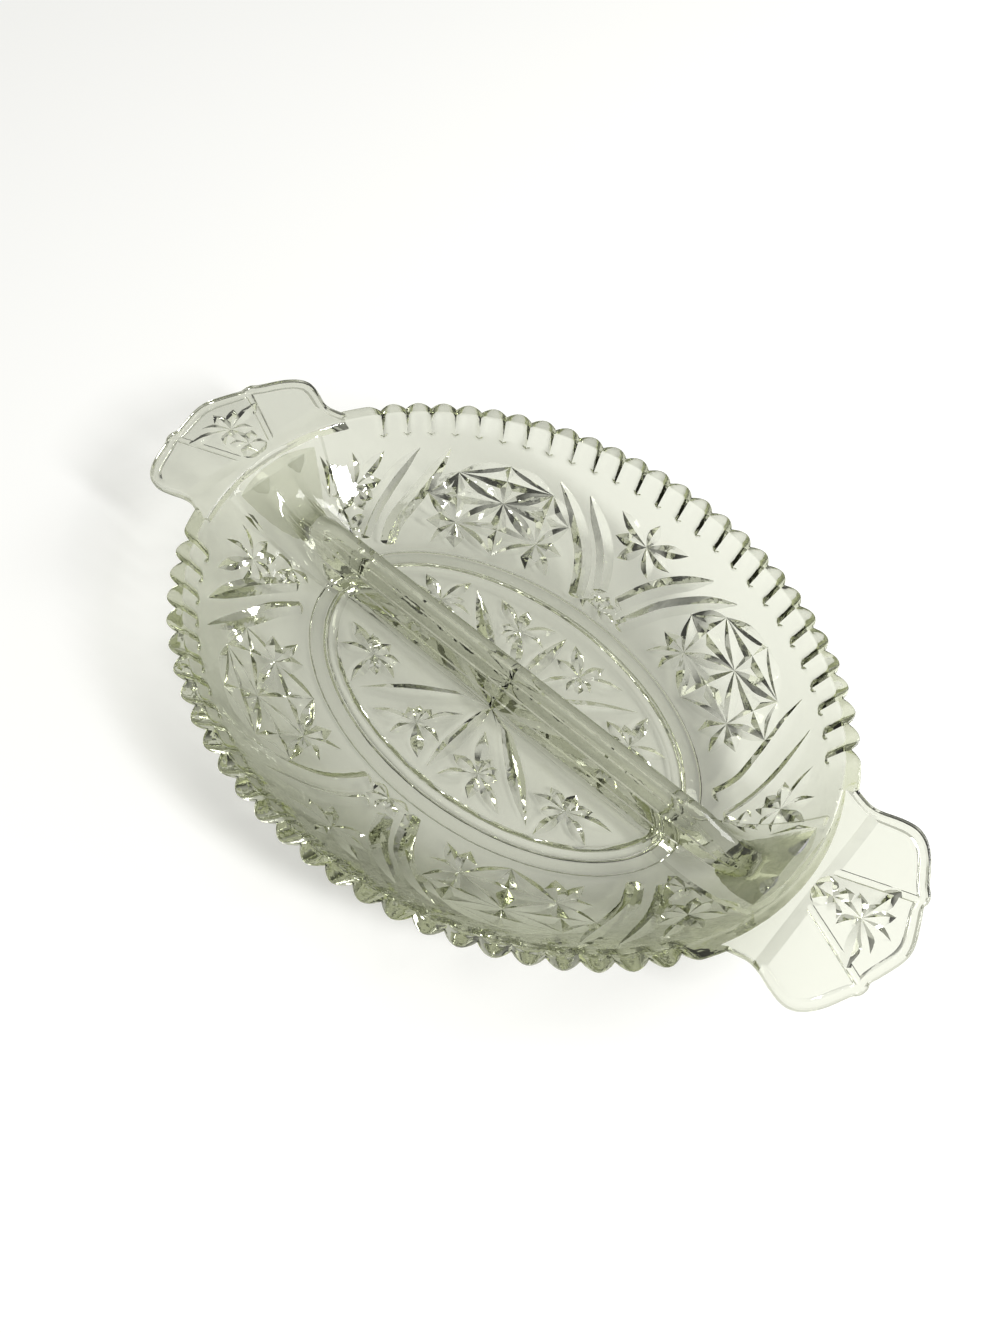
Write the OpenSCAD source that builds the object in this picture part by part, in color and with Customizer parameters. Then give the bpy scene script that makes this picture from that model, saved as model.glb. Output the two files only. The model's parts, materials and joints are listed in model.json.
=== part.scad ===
// Two-part relish tray of pressed glass: an oval bowl on a foot ring, with a rib that
// divides it along its length, a fluted and toothed rim, and a lobed tab at each end.
// The long axis runs along X, the table is at zero height, and the rim is at the top.

/* [Tray] */
// Length over the tips of both tabs
overall_length = 254; // [246:1:266]
// Length of the bowl over its rim teeth
bowl_length = 203; // [196:1:210]
// Width of the bowl over its rim teeth
bowl_width = 165; // [156:1:172]
// Height from the table to the top of the rim
tray_height = 33.4; // [31:0.2:38]

/* [Floor and foot] */
// Length of the flat floor inside the bowl
floor_length = 126; // [120:1:130]
// Width of the flat floor inside the bowl
floor_width = 77; // [72:1:82]
// Height of the floor's upper face above the table
floor_top = 6.6; // [6:0.1:7.4]
// Width of the foot ring that the tray stands on
foot_width = 4.4; // [3.6:0.1:5]
// Depth of the hollow inside the foot ring
foot_hollow = 1.6; // [1:0.1:2]
// Bevel on the two lower edges of the foot ring
foot_bevel = 0.7; // [0.3:0.1:1]

/* [Wall] */
// Height at which the outside of the wall leaves the foot ring
wall_root = 2; // [1.8:0.1:2.6]
// Rise of the outside of the wall, where 1 is a straight cone and 2 is a deep curve
outer_curve = 2.05; // [1.9:0.05:2.2]
// Rise of the inside of the wall, on the same scale
inner_curve = 1.95; // [1.85:0.05:2.05]

/* [Rim] */
// Width of the rim from its inner edge to the tips of the teeth
rim_width = 4.6; // [4:0.1:5.6]
// Height of the fluted band
flute_height = 9.2; // [7:0.2:11]
// Depth of the valleys between the teeth
tooth_depth = 2.5; // [1.5:0.1:2.8]
// Number of teeth along each side
teeth_per_side = 27; // [21:2:31]
// Height of the slope that closes each flute at its foot
flute_run = 1.8; // [1:0.1:2.4]
// Bevel along the top of the teeth
tooth_bevel = 0.5; // [0.2:0.1:0.8]

/* [Divider] */
// Depth of the divider's crest below the top of the rim
crest_drop = 9.2; // [8:0.2:12]
// Width of the divider above its root
divider_width = 12.6; // [9:0.2:15]
// Width of the divider near its crest
crest_width = 4.8; // [3:0.2:6]
// Extra width of the divider's root on each side
root_flare = 2; // [1:0.2:3]
// Extra width of the divider on each side where it runs up the wall to the rim
end_flare = 12; // [6:0.5:14]

/* [Tabs] */
// Width of a tab over its two side lobes
tab_width = 61.6; // [56:0.2:66]
// Thickness of a tab
tab_thick = 3.8; // [3.2:0.1:4.4]
// Extra thickness of a tab where it joins the rim
tab_root = 2.4; // [1.5:0.1:3]
// Width of the raised border along the edge of a tab
border_width = 2.4; // [1.8:0.1:3]
// Width of the two ribs under a tab
rib_width = 1.8; // [1.2:0.1:2.4]
// Depth of the sunk panels between the ribs and the border
panel_depth = 0.7; // [0.3:0.1:1]
// Amount by which a tab's lower edge is drawn in
tab_draft = 1.3; // [0.6:0.1:1.6]

/* [Cut pattern] */
// Depth of the widest star rays in the wall
star_depth = 1.4; // [1:0.1:1.7]
// Half width of the widest star rays in the wall
star_half_width = 2.6; // [1.8:0.1:3]
// Depth of the slim rays that link two stars
link_depth = 1; // [0.8:0.1:1.3]
// Half width of the slim rays that link two stars
link_half_width = 1.7; // [1.2:0.1:2]
// Depth of the grooves along the arches
groove_depth = 1.3; // [0.9:0.1:1.5]
// Half width of the grooves along the arches
groove_half_width = 2.3; // [1.6:0.1:2.5]
// Half width of the small pit in the middle of each star
pit_half_width = 0.9; // [0.7:0.1:1.2]
// Depth of the small pit in the middle of each star
pit_depth = 0.6; // [0.5:0.1:0.8]
// Depth of the eight long rays under the floor
ray_depth = 1.5; // [0.8:0.1:2]
// Half width of the eight long rays under the floor
ray_half_width = 2.1; // [1.4:0.1:2.4]
// Depth of the small stars under the floor
floor_star_depth = 1.1; // [0.6:0.1:1.4]
// Half width of a ray of the small stars under the floor
floor_star_half_width = 1.45; // [1:0.05:1.6]
// Longest ray of the small stars under the floor
floor_star_reach = 13.5; // [10:0.5:15]
// Longest ray of the star under a tab
tab_star_reach = 12; // [9:0.5:13]
// Depth of the star under a tab
tab_star_depth = 1.1; // [0.6:0.1:1.4]
// Half width of a ray of the star under a tab
tab_star_half_width = 1.3; // [0.9:0.1:1.6]

/* [Hidden] */

// Clear pressed glass with a faint olive tint
glass = [0.86, 0.88, 0.8, 0.45];

// Length by which a cutting shape runs past the face that it cuts
overrun = 1;
// Height above the face to which a shape that cuts a ray or a groove reaches
cut_lift = 1.2;

// Thickness of the corner blocks that a hulled shape is stretched over
speck = 0.01;

// Facets round half of the wall, and up the outside and the inside of it
wall_steps = 30;
outer_steps = 6;
inner_steps = 4;
// Depth below the true curve at which the wall's cuts start, since its facets lie inside it
facet_sink = 0.2;

// Half lengths and half widths of the ovals
rim_a = bowl_length / 2;
rim_b = bowl_width / 2;
inner_rim_a = rim_a - rim_width;
inner_rim_b = rim_b - rim_width;
floor_a = floor_length / 2;
floor_b = floor_width / 2;
foot_a = floor_a + foot_width;
foot_b = floor_b + foot_width;

// Height of the lower edge of the fluted band
band_z = tray_height - flute_height;
// Height of the divider's crest above the floor
divider_height = tray_height - crest_drop - floor_top;
// Share of the inside curve that lies on the floor plate, between the flat and the wall
inner_start_share = 0.13;

// Angle of a quarter turn
quarter = 90;
// Angle at which the rim teeth start beside a tab
tooth_start_share = 0.255;
tooth_start = tooth_start_share * quarter;
// How much the teeth spread towards the tabs, so that their pitch stays even
tooth_spread_share = 0.06;
// Share of the tooth depth that a flute has at its foot
flute_foot_share = 0.7;

// Star lattice of a quarter of the wall: shares of a quarter turn from the tab to the middle
// of a side, and shares of the wall's height curve from the foot ring to the rim
column_shares = [0.425, 0.507, 0.633, 0.749, 0.812];
row_shares = [0.085, 0.317, 0.525, 0.667, 0.748];
// Rays of the lattice: start, widest place and end, as column and row numbers
wide_rays = [
    [[2, 2], [2, 3], [2, 4]], [[2, 2], [2, 1], [2, 0]],
    [[2, 2], [3, 2], [4, 2]], [[2, 2], [1, 2], [0, 2]],
    [[3, 1], [3, 2], [3, 3]], [[1, 1], [1, 2], [1, 3]],
    [[1, 1], [2, 1], [3, 1]], [[1, 3], [2, 3], [3, 3]],
    [[3, 1], [3.6, 1], [4.2, 1]], [[1, 1], [0.4, 1], [-0.1, 1]],
    [[3, 1], [3, 0.4], [3, 0]], [[1, 1], [1, 0.4], [1, 0]]
];
slim_rays = [
    [[2, 2], [3, 3]], [[2, 2], [1, 3]], [[2, 2], [3, 1]], [[2, 2], [1, 1]],
    [[3, 1], [2, 0]], [[1, 1], [2, 0]], [[3, 1], [4, 0.1]], [[1, 1], [0, 0.1]],
    [[3, 1], [4, 2]], [[1, 1], [0, 2]], [[3, 3], [2, 4]], [[1, 3], [2, 4]],
    [[3, 3], [4, 2]], [[1, 3], [0, 2]]
];

// Grooves of an arch, from the foot to the tip, as shares of a quarter turn and of the height
groove_shares = [
    [[0.922, 0.09], [0.89, 0.33], [0.86, 0.47], [0.805, 0.64], [0.755, 0.75]],
    [[0.968, 0.24], [0.938, 0.42], [0.905, 0.55], [0.866, 0.655], [0.83, 0.745]],
    [[0.262, 0.12], [0.314, 0.32], [0.376, 0.475], [0.444, 0.66], [0.482, 0.79]],
    [[0.182, 0.24], [0.248, 0.435], [0.31, 0.59], [0.355, 0.69], [0.405, 0.79]]
];
// Width of a groove at each of its places, as shares of its full width
groove_width_shares = [0.85, 1, 1, 0.8, 0.1];

// Single stars of a quarter: centre, then the ends of the rays, as the same two shares
tab_side_star = [[0.212, 0.612],
    [[0.228, 0.8], [0.217, 0.45], [0.135, 0.6], [0.291, 0.62],
     [0.161, 0.775], [0.311, 0.78], [0.15, 0.49], [0.259, 0.5]]];
tab_foot_star = [[0.139, 0.34],
    [[0.222, 0.4], [0.137, 0.5], [0.2, 0.22], [0.144, 0.16]]];
middle_star = [[1, 0.655],
    [[1, 0.785], [0.912, 0.75], [1.088, 0.75], [0.925, 0.62], [1.075, 0.62],
     [0.955, 0.51], [1.045, 0.51]]];
middle_foot_star = [[1, 0.09],
    [[1, 0.235], [0.955, 0.19], [1.045, 0.19], [0.94, 0.08], [1.06, 0.08]]];
// Long cut that closes the pattern beside a tab
plain_edge = [[0.124, 0.6], [0.135, 0.76], [0.14, 0.83]];
// Where a ray is widest, as a share of its length from the star's centre
ray_belly_share = 0.6;
// How far a ray runs past its own ends, as a share of its length, so that the rays of a star
// run into one another
ray_past_share = 0.04;

// Pattern under the floor, as shares of the foot hollow's half length and half width
long_ray_ends_share = [[0.78, 0], [0.5, 0.65], [0, 0.79]];
floor_star_places_share = [[0.6, 0.385], [0.192, 0.6]];
// Where a long ray starts and where it is widest, as shares of its length
long_ray_start_share = 0;
long_ray_belly_share = 0.72;
// Angles of the eight rays of the two small stars of a quarter, where 0 points along the
// tray and 90 points across it, both outwards, and the lengths of these rays
floor_star_angles = [[22, 100, 139, 169, 202, 260, 317, 343],
                     [24, 67, 136, 178, 236, 270, 305, 339]];
floor_star_ray_shares = [[0.8, 0.84, 0.52, 0.74, 0.6, 0.44, 0.55, 1],
                         [0.97, 0.6, 0.83, 0.66, 1, 0.45, 0.42, 0.42]];

// Star under a tab: angles and lengths of its rays, from the outward one round
tab_star_angles = [0, 45, 74, 125, 180, 235, 286, 315];
tab_star_ray_shares = [0.62, 0.65, 1, 0.5, 0.62, 0.5, 1, 0.65];
// Half star at the inner end of the middle lobe
apex_star_angles = [0, 50, 130, 230, 310];
apex_star_ray_shares = [0.3, 0.42, 0.4, 0.4, 0.42];

// Half of a tab's outline from the rim to its tip: shares of its reach and of its half width
tab_edge_shares = [[-0.36, 0.97], [-0.2, 0.925], [-0.08, 0.9], [0.03, 0.915], [0.15, 0.955],
    [0.28, 0.99], [0.4, 1], [0.51, 0.965], [0.6, 0.895], [0.67, 0.81], [0.725, 0.72],
    [0.77, 0.64], [0.805, 0.585], [0.85, 0.54], [0.87, 0.475], [0.86, 0.41], [0.895, 0.33],
    [0.945, 0.21], [0.985, 0.1]];
// Ends of a rib of a tab, and the centres of its star and of the half star, as such shares
rib_start_share = [-0.16, 0.13];
rib_end_share = [0.82, 0.47];
tab_star_share = 0.47;
apex_share = 0.15;

// Share of a tab's thickness over which its edge is drawn in
tab_draft_share = 0.6;

// Places along a tab
tab_reach = overall_length / 2;
tab_length = tab_reach - rim_a;
function tab_spot(share) = [rim_a + share[0] * tab_length, share[1] * tab_width / 2];
tab_star_x = rim_a + tab_star_share * tab_length;
apex_x = rim_a + apex_share * tab_length;

function lerp(from, to, share) = from + (to - from) * share;
function unit(v) = v / norm(v);

// Outside of the wall at an angle and a share of its height curve
function out_a(t) = lerp(foot_a, rim_a, t);
function out_b(t) = lerp(foot_b, rim_b, t);
function out_z(t) = wall_root + (tray_height - wall_root) * pow(t, outer_curve);
function out_share(z) = pow((z - wall_root) / (tray_height - wall_root), 1 / outer_curve);
function out_slope(t) = (tray_height - wall_root) * outer_curve * pow(t, outer_curve - 1);
function on_wall(p) = [out_a(p[1]) * cos(p[0]), out_b(p[1]) * sin(p[0]), out_z(p[1])];
function in_wall_face(p) = on_wall(p) - wall_normal(p) * facet_sink;
function wall_normal(p) =
    let (a = out_a(p[1]), b = out_b(p[1]), c = cos(p[0]), s = sin(p[0]), k = out_slope(p[1]))
    unit([b * k * c, a * k * s, -(a * (rim_b - foot_b) * s * s + b * (rim_a - foot_a) * c * c)]);

// Inside of the wall, which starts at the edge of the floor plate
function in_z(t) = floor_top + (tray_height - floor_top)
    * pow((t + inner_start_share) / (1 + inner_start_share), inner_curve);
function in_share(z) = (1 + inner_start_share)
    * pow((z - floor_top) / (tray_height - floor_top), 1 / inner_curve) - inner_start_share;
function in_wall(angle, t) = [lerp(foot_a, inner_rim_a, t) * cos(angle),
    lerp(foot_b, inner_rim_b, t) * sin(angle), in_z(t)];

// Place of a share pair in one of the four quarters of the wall
function quarter_angle(angle, part) =
    part == 0 ? angle : part == 1 ? 180 - angle : part == 2 ? 180 + angle : 360 - angle;
function place(shares, part) = [quarter_angle(shares[0] * quarter, part), shares[1]];
// Place of a lattice point, whose column and row may lie between two whole numbers
function along_list(list, i) =
    let (low = max(0, min(len(list) - 2, floor(i))))
    lerp(list[low], list[low + 1], i - low);
function lattice(p, part) =
    place([along_list(column_shares, p[0]), along_list(row_shares, p[1])], part);

// Solid between a row of closed loops of points, with flat ends. Each square of the skin is
// parted along the diagonal that leans forward, or else along the other one.
module swept(loops, forward = true) {
    n = len(loops[0]);
    last = len(loops) - 1;
    polyhedron(
        points = [for (loop = loops) each loop],
        faces = concat(
            [[for (k = [0 : n - 1]) k]],
            [for (i = [0 : last - 1], k = [0 : n - 1])
                [i * n + k, (i + 1) * n + (forward ? (k + 1) % n : k), i * n + (k + 1) % n]],
            [for (i = [0 : last - 1], k = [0 : n - 1])
                [forward ? i * n + k : i * n + (k + 1) % n, (i + 1) * n + k,
                 (i + 1) * n + (k + 1) % n]],
            [[for (k = [n - 1 : -1 : 0]) last * n + k]]),
        convexity = 10);
}

// Two points of a V section, raised to the cut's lift above the face
function raised(foot, normal, side, half_w, depth) =
    let (reach = side * half_w * (1 + cut_lift / depth))
    [foot + normal * cut_lift + reach, foot + normal * cut_lift - reach];

// Four-sided cut with its ends on the face, its belly half_w wide and depth deep
module lozenge(start, belly, end, normal, half_w, depth) {
    past = (end - start) * ray_past_share;
    rims = raised(belly, normal, unit(cross(normal, past)), half_w, depth);
    for (half = [0, 1]) {
        tip = half == 0 ? start - past : end + past;
        hull()
            polyhedron(
                points = [belly - normal * depth, tip, tip + normal * cut_lift,
                          rims[half], rims[1 - half]],
                faces = [[2, 3, 4], [0, 4, 3], [0, 3, 1], [1, 3, 2], [0, 1, 4], [1, 2, 4]]);
    }
}

// Small pit where the rays of a star meet, turned along a direction
module star_pit(centre, way, normal) {
    arm = unit(way) * pit_half_width;
    lozenge(centre - arm, centre, centre + arm, normal, pit_half_width, pit_depth);
}

// Cut into the outside of the wall between three places on it
module wall_cut(start, belly, end, half_w, depth) {
    lozenge(in_wall_face(start), in_wall_face(belly), in_wall_face(end), wall_normal(belly),
        half_w, depth);
}

// Star of rays cut into the outside of the wall
module wall_star(star, part) {
    centre = place(star[0], part);
    for (tip = star[1]) {
        end = place(tip, part);
        wall_cut(centre, lerp(centre, end, ray_belly_share), end, link_half_width, link_depth);
    }
}

// Groove with a V section that follows places on the outside of the wall
module wall_groove(places, part) {
    spots = [for (p = places) place(p, part)];
    feet = [for (p = spots) in_wall_face(p)];
    last = len(spots) - 1;
    sections = [for (i = [0 : last])
        let (normal = wall_normal(spots[i]),
             run = feet[min(i + 1, last)] - feet[max(i - 1, 0)],
             half_w = groove_half_width * groove_width_shares[i],
             depth = groove_depth * groove_width_shares[i])
        concat([feet[i] - normal * depth],
            raised(feet[i], normal, unit(cross(normal, run)), half_w, depth))];
    for (i = [0 : last - 1])
        hull()
            polyhedron(points = concat(sections[i], sections[i + 1]),
                faces = [[0, 1, 2], [3, 5, 4], [0, 3, 4], [0, 4, 1], [0, 2, 5], [0, 5, 3],
                         [2, 1, 4], [2, 4, 5]]);
}

// Everything that is cut into one quarter of the wall
module quarter_pattern(part) {
    for (ray = wide_rays)
        wall_cut(lattice(ray[0], part), lattice(ray[1], part), lattice(ray[2], part),
            star_half_width, star_depth);
    for (ray = slim_rays)
        wall_cut(lattice(ray[0], part), lattice((ray[0] + ray[1]) / 2, part),
            lattice(ray[1], part), link_half_width, link_depth);
    for (groove = groove_shares)
        wall_groove(groove, part);
    wall_star(tab_side_star, part);
    wall_star(tab_foot_star, part);
    wall_cut(place(plain_edge[0], part), place(plain_edge[1], part),
        place(plain_edge[2], part), link_half_width, link_depth);
}

// Closed outline of the wall at one angle: up the inside, then down the outside
function wall_loop(angle) = concat(
    [for (i = [0 : inner_steps]) in_wall(angle, in_share(band_z) * i / inner_steps)],
    [for (i = [outer_steps : -1 : 0])
        on_wall([angle, out_share(band_z) * i / outer_steps])]);

// Half of the wall, from one tab to the other, starting at an angle
module half_wall(from) {
    swept([for (i = [0 : wall_steps]) wall_loop(from + 180 * i / wall_steps)]);
}

module cut_wall(from, parts) {
    color(glass)
        difference() {
            half_wall(from);
            for (part = parts)
                quarter_pattern(part);
            wall_star(middle_star, parts[0]);
            wall_star(middle_foot_star, parts[0]);
        }
}

// Angle of a tooth valley or tip, where u runs from 1 at the right tab to -1 at the left
function tooth_angle(u) = 90
    - (90 - tooth_start) * (u + tooth_spread_share * (u * u * u - u));

// Angle of each point of half a rim, and the share of the tooth depth cut there
plain_steps = 4;
rim_spots = concat(
    [for (i = [0 : plain_steps - 1]) [tooth_start * i / plain_steps, 0]],
    [for (k = [0 : 2 * teeth_per_side])
        [tooth_angle(1 - k / teeth_per_side), k % 2 == 0 ? 1 : 0]],
    [for (i = [plain_steps - 1 : -1 : 0]) [180 - tooth_start * i / plain_steps, 0]]);
first_tooth = plain_steps;
last_tooth = plain_steps + 2 * teeth_per_side;

// Point on the outside of the rim, drawn in by an inset square to the oval
function rim_out(angle, z, inset) =
    let (t = out_share(z), a = out_a(t), b = out_b(t),
         out = unit([cos(angle) / a, sin(angle) / b, 0]))
    [a * cos(angle), b * sin(angle), z] - out * inset;

// Outer half of the rim's outline at one spot, from the band's lower edge to its top
function rim_side(i, from) =
    let (angle = from + rim_spots[i][0],
         toothed = i > first_tooth && i < last_tooth,
         valley = toothed ? rim_spots[i][1] * tooth_depth : 0,
         bevel = toothed ? tooth_bevel : 0)
    [rim_out(angle, band_z, 0),
     rim_out(angle, band_z + flute_run, valley * flute_foot_share),
     rim_out(angle, tray_height - tooth_bevel, valley),
     rim_out(angle, tray_height, valley + bevel)];

function rim_loop(i, from) = let (side = rim_side(i, from)) concat(
    [for (k = [0 : 3])
        in_wall(from + rim_spots[i][0], in_share(lerp(band_z, tray_height, k / 3)))],
    [for (k = [3 : -1 : 0]) side[k]]);

module half_rim(from) {
    color(glass)
        swept([for (i = [0 : len(rim_spots) - 1]) rim_loop(i, from)]);
}

// Rings of points right round the tray, for the solids that neighbours are cut by
half_count = len(rim_spots) - 1;
function rim_ring(level) = [for (from = [0, 180], i = [0 : half_count - 1])
    rim_side(i, from)[level]];
function rim_hollow_ring(k) = [for (from = [0, 180], i = [0 : half_count - 1])
    in_wall(from + rim_spots[i][0], in_share(lerp(band_z, tray_height, k / 3)))];
function wall_hollow_ring(k) = [for (i = [0 : 2 * wall_steps - 1])
    in_wall(180 * i / wall_steps, in_share(band_z) * k / inner_steps)];
function oval_ring(a, b, z) = [for (i = [0 : 2 * wall_steps - 1])
    [a * cos(180 * i / wall_steps), b * sin(180 * i / wall_steps), z]];

// Floor plate with its foot ring, before the pattern is cut
module floor_plate() {
    inner_a = foot_a - foot_width;
    inner_b = foot_b - foot_width;
    difference() {
        swept([
            oval_ring(foot_a - foot_bevel, foot_b - foot_bevel, 0),
            oval_ring(foot_a, foot_b, foot_bevel),
            oval_ring(foot_a, foot_b, in_z(0)),
            oval_ring(floor_a, floor_b, floor_top)]);
        swept([
            oval_ring(inner_a + foot_bevel, inner_b + foot_bevel, -overrun),
            oval_ring(inner_a + foot_bevel, inner_b + foot_bevel, 0),
            oval_ring(inner_a, inner_b, foot_bevel),
            oval_ring(inner_a - foot_bevel, inner_b - foot_bevel, foot_hollow)]);
    }
}

// Cut upwards into the underside of the floor between three points on it
module floor_cut(start, belly, end, half_w, depth) {
    lozenge(start, belly, end, [0, 0, -1], half_w, depth);
}

module floor_pattern() {
    size = [floor_a - foot_bevel, floor_b - foot_bevel];
    down = [0, 0, -1];
    star_pit([0, 0, foot_hollow], [1, 1, 0], down);
    for (sx = [-1, 1], sy = [-1, 1]) {
        for (share = long_ray_ends_share)
            if ((share[0] > 0 || sx > 0) && (share[1] > 0 || sy > 0)) {
                end = [sx * share[0] * size[0], sy * share[1] * size[1], foot_hollow];
                centre = [0, 0, foot_hollow];
                floor_cut(lerp(centre, end, long_ray_start_share),
                    lerp(centre, end, long_ray_belly_share), end, ray_half_width, ray_depth);
            }
        for (k = [0 : len(floor_star_places_share) - 1]) {
            share = floor_star_places_share[k];
            spot = [sx * share[0] * size[0], sy * share[1] * size[1], foot_hollow];
            star_pit(spot, spot - [0, 0, foot_hollow], down);
            for (i = [0 : 7]) {
                angle = floor_star_angles[k][i];
                reach = floor_star_reach * floor_star_ray_shares[k][i];
                way = [sx * cos(angle), sy * sin(angle), 0] * reach;
                floor_cut(spot, spot + way * ray_belly_share, spot + way,
                    floor_star_half_width, floor_star_depth);
            }
        }
    }
}

module base() {
    color(glass)
        difference() {
            floor_plate();
            floor_pattern();
        }
}

module front_wall() {
    cut_wall(180, [2, 3]);
}

module back_wall() {
    cut_wall(0, [0, 1]);
}

module front_rim() {
    half_rim(180);
}

module back_rim() {
    half_rim(0);
}

// Hollow of the bowl above the floor
module bowl_hollow() {
    swept(concat([oval_ring(floor_a, floor_b, floor_top)],
        [for (k = [0 : inner_steps]) wall_hollow_ring(k)]));
    swept([for (k = [0 : 3]) rim_hollow_ring(k)]);
}

// Heights of the divider's corners above the floor or the wall, as shares of the height of
// its crest there, and the half widths of its rounded crest, as shares of the crest's width
root_height_shares = [0.04, 0.14];
crest_height_shares = [0.86, 0.96, 1];
crest_round_shares = [0.62, 0.4, 0.14];
// Share of the end flare that each layer of the divider has, from the root to the crest
layer_flare_shares = [1, 1, 0.95, 0.5, 0.3, 0.1];
// Heights and half widths of the divider's layers at the middle of the tray
divider_layers = concat(
    [[0, divider_width / 2 + root_flare],
     [root_height_shares[0], divider_width / 2 + root_flare / 2],
     [root_height_shares[1], divider_width / 2]],
    [for (i = [0 : 2]) [crest_height_shares[i], crest_width * crest_round_shares[i]]]);
// Places of the divider from its middle to its end, how much of the end flare it has there,
// and how much of the way to the rim its crest has risen there
divider_stations_share = [0, 0.35, 0.6, 0.72, 0.82, 0.9, 0.95, 1];
flare_shares = [0, 0, 0.02, 0.16, 0.42, 0.7, 0.88, 1];
rise_shares = [0, 0, 0, 0, 0.02, 0.14, 0.5, 1];

// Height of the inside of the bowl under the divider, and of its crest, at a station
function divider_low(s) = in_z(max(-inner_start_share,
    (inner_rim_a * divider_stations_share[s] - foot_a) / (inner_rim_a - foot_a)));
function divider_crest(s) = floor_top + divider_height + crest_drop * rise_shares[s];

// Slab of one layer of the divider between two stations on one side of the middle
module divider_slab(layer, station, side) {
    hull()
        for (s = [station, station + 1], l = [layer, layer + 1]) {
            half = divider_layers[l][1] + end_flare * flare_shares[s] * layer_flare_shares[l];
            sink = l == 0 ? overrun : 0;
            for (y = [-half, half])
                translate([side * inner_rim_a * divider_stations_share[s], y,
                           lerp(divider_low(s), divider_crest(s), divider_layers[l][0]) - sink])
                    cube([speck, speck, speck], center = true);
        }
}

module divider() {
    color(glass)
        intersection() {
            union()
                for (side = [-1, 1], station = [0 : len(flare_shares) - 2],
                     layer = [0 : len(divider_layers) - 2])
                    divider_slab(layer, station, side);
            bowl_hollow();
        }
}

// Outline of a tab seen from above, drawn in by an inset
tab_edge = concat(
    [for (i = [0 : len(tab_edge_shares) - 1]) let (p = tab_spot(tab_edge_shares[i])) [p[0], -p[1]]],
    [[tab_reach, 0]],
    [for (i = [len(tab_edge_shares) - 1 : -1 : 0]) tab_spot(tab_edge_shares[i])]);
function edge_inset(inset) = [for (i = [0 : len(tab_edge) - 1])
    let (run = unit(tab_edge[min(i + 1, len(tab_edge) - 1)] - tab_edge[max(i - 1, 0)]))
    tab_edge[i] + [-run[1], run[0]] * inset];
function tab_ring(z, inset) = [for (p = edge_inset(inset)) [p[0], p[1], z]];

// Sunk panels of a tab, inside the border and beside the two ribs
module tab_panels() {
    difference() {
        polygon(edge_inset(border_width));
        for (side = [-1, 1])
            hull()
                for (share = [rib_start_share, rib_end_share])
                    translate([tab_spot(share)[0], side * tab_spot(share)[1]])
                        circle(d = rib_width, $fn = 12);
        translate([rim_a - tab_reach, 0])
            circle(r = tab_reach + border_width, $fn = 2 * wall_steps);
    }
}

// Star of rays cut up into the underside of a tab
module tab_star(x, z, angles, shares) {
    star_pit([x, 0, z], [1, 0, 0], [0, 0, -1]);
    for (i = [0 : len(angles) - 1]) {
        start = [x, 0, z];
        way = [cos(angles[i]), sin(angles[i]), 0] * tab_star_reach * shares[i];
        floor_cut(start, start + way * ray_belly_share, start + way,
            tab_star_half_width, tab_star_depth);
    }
}

module tab() {
    under = tray_height - tab_thick;
    root_under = under - tab_root;
    slope_start = rim_a - tab_root;
    slope_end = rim_a + 2 * tab_root;
    color(glass)
        difference() {
            swept([tab_ring(root_under, tab_draft), tab_ring(under, tab_draft),
                   tab_ring(lerp(under, tray_height, tab_draft_share), 0),
                   tab_ring(tray_height, tooth_bevel)]);
            hull()
                for (spot = [[slope_start, root_under], [slope_end, under],
                             [tab_reach + overrun, under],
                             [tab_reach + overrun, root_under - overrun],
                             [slope_start, root_under - overrun]])
                    translate([spot[0], 0, spot[1]])
                        cube([speck, 2 * tab_width, speck], center = true);
            translate([0, 0, under - overrun])
                linear_extrude(panel_depth + overrun)
                    tab_panels();
            tab_star(tab_star_x, under + panel_depth, tab_star_angles, tab_star_ray_shares);
            tab_star(apex_x, under + panel_depth, apex_star_angles, apex_star_ray_shares);
            swept([for (level = [0 : 3]) rim_ring(level)], false);
        }
}

module right_handle() {
    tab();
}

module left_handle() {
    rotate(180)
        tab();
}

base();
front_wall();
back_wall();
front_rim();
back_rim();
divider();
left_handle();
right_handle();
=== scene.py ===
import bpy, bmesh, json, math
from mathutils import Matrix, Vector

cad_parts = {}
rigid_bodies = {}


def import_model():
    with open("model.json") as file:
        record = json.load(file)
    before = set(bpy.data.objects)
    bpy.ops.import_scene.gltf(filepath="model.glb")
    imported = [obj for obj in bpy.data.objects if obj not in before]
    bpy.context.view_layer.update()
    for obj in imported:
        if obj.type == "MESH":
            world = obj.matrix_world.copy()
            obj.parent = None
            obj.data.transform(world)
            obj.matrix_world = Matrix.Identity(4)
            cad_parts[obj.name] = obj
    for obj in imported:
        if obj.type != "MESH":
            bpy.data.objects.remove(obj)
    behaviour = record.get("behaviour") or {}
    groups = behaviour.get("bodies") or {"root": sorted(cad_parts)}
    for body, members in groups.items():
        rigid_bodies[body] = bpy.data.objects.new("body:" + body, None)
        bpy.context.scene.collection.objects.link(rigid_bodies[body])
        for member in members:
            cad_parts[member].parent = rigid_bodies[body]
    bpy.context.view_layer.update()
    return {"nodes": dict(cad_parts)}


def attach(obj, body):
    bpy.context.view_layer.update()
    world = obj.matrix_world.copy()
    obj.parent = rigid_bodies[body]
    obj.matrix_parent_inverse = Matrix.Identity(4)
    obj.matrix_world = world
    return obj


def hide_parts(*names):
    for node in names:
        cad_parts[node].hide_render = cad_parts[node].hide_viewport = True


for spare in list(bpy.data.objects):
    bpy.data.objects.remove(spare)
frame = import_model()
mm = 0.001
collection = bpy.context.scene.collection
print("frame loaded:", len(frame["nodes"]), "nodes")

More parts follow.
